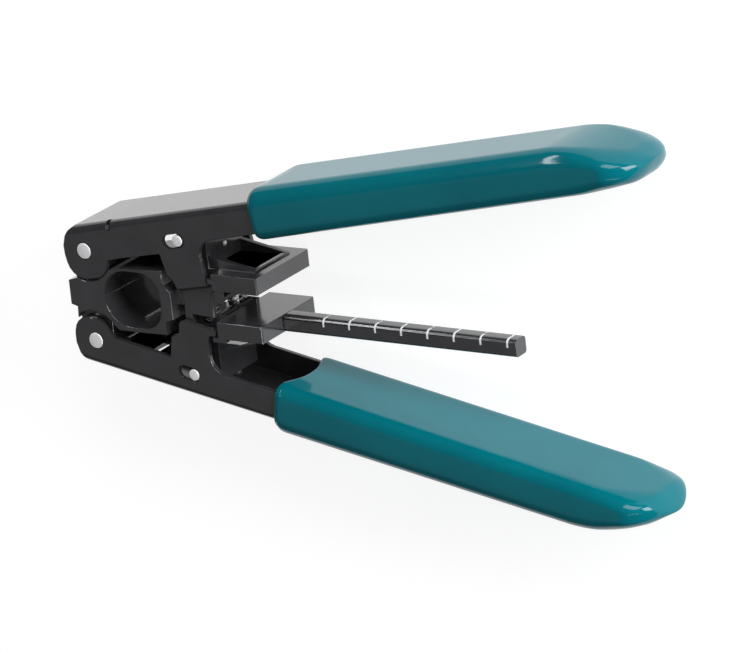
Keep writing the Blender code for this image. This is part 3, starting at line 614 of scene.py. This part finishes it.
def spring_mesh(node, side):
    """A fine helix over the CAD spring's length, with closed end turns."""
    low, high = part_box(node)
    centre = (low + high) / 2
    start, end = (low.y, high.y) if side == UPPER else (high.y, low.y)
    wire = SPRING_WIRE * MM
    start += side * wire
    end -= side * wire
    count = SPRING_TURNS * SPRING_STEPS
    rings = []
    for index in range(count + 1):
        share = index / count
        climb = share - SPRING_CLOSING * math.sin(2 * math.pi * share)
        turn = 2 * math.pi * index / SPRING_STEPS
        outward = Vector((math.cos(turn), 0, math.sin(turn)))
        middle = Vector((centre.x, start + (end - start) * climb, centre.z))
        middle += outward * SPRING_RADIUS * MM
        ring = []
        for step in range(SPRING_WIRE_SIDES):
            around = 2 * math.pi * step / SPRING_WIRE_SIDES
            ring.append(middle + outward * wire * math.cos(around)
                        + Vector((0, wire * math.sin(around), 0)))
        rings.append(ring)
    bm = bmesh.new()
    add_loft(bm, rings)
    return solid_mesh(f"{node}_wire", bm, 50)


# ---------------------------------------------------------------- scale marks

BAR_HALF_WIDTH = 3.1
BAR_TOP_Y = -4.15
BAR_EDGE = 1.6
FIRST_MARK_X = 84.8
MARK_PITCH = 10.0
MARK_COUNT = 8
MARK_WIDTH = 0.7
MARK_DROP = 2.7                # how far a mark runs down the bar's near side
MARK_STEPS = 6
SHORT_MARK_REACH = -0.2        # the marks with a number stop short of it
PRINT_THICKNESS = 0.03
NUMERAL_SIZE = 2.3
NUMERAL_Z = -1.1


def mark_path(far):
    """(y, z) path of one mark: from the far side of the top, over the near edge and down."""
    path = [(BAR_TOP_Y, -far)]
    path.append((BAR_TOP_Y, BAR_HALF_WIDTH - BAR_EDGE))
    for step in range(1, MARK_STEPS + 1):
        turn = math.pi / 2 * step / MARK_STEPS
        path.append((BAR_TOP_Y - BAR_EDGE + BAR_EDGE * math.cos(turn),
                     BAR_HALF_WIDTH - BAR_EDGE + BAR_EDGE * math.sin(turn)))
    path.append((BAR_TOP_Y - MARK_DROP, BAR_HALF_WIDTH))
    return path


def scale_marks():
    """White marks printed across the bar every centimetre, as one thin raised film."""
    bm = bmesh.new()
    for mark in range(MARK_COUNT):
        x = FIRST_MARK_X + MARK_PITCH * mark
        path = mark_path(BAR_HALF_WIDTH - BAR_EDGE if mark % 2 else SHORT_MARK_REACH)
        rings = []
        for index, (y, z) in enumerate(path):
            before = Vector(path[max(index - 1, 0)])
            after = Vector(path[min(index + 1, len(path) - 1)])
            along = (after - before).normalized()
            lift = Vector((along.y, -along.x)) * PRINT_THICKNESS
            rings.append([
                in_tool(x + half * MARK_WIDTH / 2, y + lift.x * raised, z + lift.y * raised)
                for half, raised in ((-1, -1), (-1, 1), (1, 1), (1, -1))])
        add_loft(bm, rings)
    return solid_mesh("scale_marks", bm)


def numeral(text, x):
    """A plain printed number on the bar's top, by the far edge of its mark."""
    font = bpy.data.curves.new(f"numeral_{text}", "FONT")
    font.body = text
    font.size = NUMERAL_SIZE * MM
    font.extrude = PRINT_THICKNESS * MM
    font.align_x = "CENTER"
    font.align_y = "CENTER"
    holder = bpy.data.objects.new("numeral", font)
    bpy.context.scene.collection.objects.link(holder)
    bpy.context.view_layer.update()
    evaluated = holder.evaluated_get(bpy.context.evaluated_depsgraph_get())
    mesh = bpy.data.meshes.new_from_object(evaluated)
    bpy.data.objects.remove(holder)
    bpy.data.curves.remove(font)
    place = Matrix.Translation(in_tool(x, BAR_TOP_Y, NUMERAL_Z))
    mesh.transform(place @ Matrix.Rotation(-math.pi / 2, 4, "X"))
    mesh.name = f"numeral_{text}"
    return mesh


# ---------------------------------------------------------------- studio

STUDIO_MIDDLE = Vector((0, 0, 0.015))
FLOOR_HALF_SIZE = 6.0
FLOOR_GAP = 0.0002             # the floor is this far under the tool


def softbox(name, direction, distance, size, radiance, upright=(0, 0, 1)):
    """A rectangular light, this far from the tool in a direction, that faces it."""
    direction = Vector(direction).normalized()
    data = bpy.data.lights.new(name, "AREA")
    data.shape = "RECTANGLE"
    data.size, data.size_y = size
    data.energy = radiance * math.pi * size[0] * size[1]
    light = bpy.data.objects.new(name, data)
    side = Vector(upright).cross(direction).normalized()
    top = direction.cross(side)
    turn = Matrix((side, top, direction)).transposed().to_4x4()
    light.matrix_world = Matrix.Translation(STUDIO_MIDDLE + direction * distance) @ turn
    bpy.context.scene.collection.objects.link(light)


def add_studio():
    """Bright floor, dim surroundings, three softboxes and two strips that light the edges."""
    bm = bmesh.new()
    bmesh.ops.create_grid(bm, x_segments=1, y_segments=1, size=FLOOR_HALF_SIZE)
    mesh = bpy.data.meshes.new("floor")
    bm.to_mesh(mesh)
    bm.free()
    mesh.materials.append(pale_floor())
    floor = bpy.data.objects.new("floor", mesh)
    floor.location.z = CAD_BOUNDS[0].z - FLOOR_GAP
    bpy.context.scene.collection.objects.link(floor)

    world = bpy.data.worlds.new("studio")
    bpy.context.scene.world = world
    world.use_nodes = True
    background = world.node_tree.nodes["Background"]
    background.inputs["Color"].default_value = (0.95, 0.97, 1.0, 1)
    background.inputs["Strength"].default_value = 0.1

    softbox("key_softbox", (0.35, 0.82, 0.45), 1.6, (0.9, 0.7), 5.7)
    softbox("handle_end_light", (0.9, 0.36, 0.24), 1.3, (0.7, 0.5), 15.0)
    softbox("face_softbox", (-0.56, -0.38, 0.77), 1.3, (0.8, 0.8), 0.2)
    softbox("left_edge_strip", (-0.544, 0.53, 0.62), 1.3, (0.05, 0.9), 17.0, (0, 0.74, -0.67))
    softbox("right_edge_strip", (0.54, -0.35, 0.75), 1.3, (0.05, 0.8), 14.0, (0.807, 0, -0.59))
    bpy.context.scene.view_settings.view_transform = "Standard"


# ---------------------------------------------------------------- assembly

add_camera()
for node, obj in frame["nodes"].items():
    obj.data.materials.clear()
    obj.data.materials.append(MATERIALS[SLOT_OF[node]])

for half in (UPPER, LOWER):
    half_name = SIDE_NAME[half]
    eased(f"{half_name}_handle_channel", 0.32)
    eased(f"{half_name}_jaw_carrier", 0.28)
    new_piece(f"{half_name}_grip_skin", grip_mesh(half), f"{half_name}_handle", "teal_grip",
              replaces=(f"{half_name}_grip",))
    for end in (-1, 1):
        spring_node = f"{half_name}_return_spring_{END_NAME[end]}"
        coil = new_piece(f"{spring_node}_wire", spring_mesh(spring_node, half), None,
                         "spring_steel", replaces=(spring_node,))
        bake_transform(coil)
    for pin in ("pivot_pin", "slot_pin"):
        turned(f"{half_name}_{pin}", "Z", GROUND_PIN)
eased("guide_body", 0.3)
eased("scale_bar", 0.22)
for end in (-1, 1):
    turned(f"guide_rod_{END_NAME[end]}", "Y")
turned("upper_leg_rivet", "X")

new_piece("scale_marks", scale_marks(), "lower_carrier", "black_moulded", WHITE_PRINT)
for mark in range(0, MARK_COUNT, 2):
    label = str(mark + 1)
    new_piece(f"numeral_{label}", numeral(label, FIRST_MARK_X + MARK_PITCH * mark),
              "lower_carrier", "black_moulded", WHITE_PRINT)

add_studio()
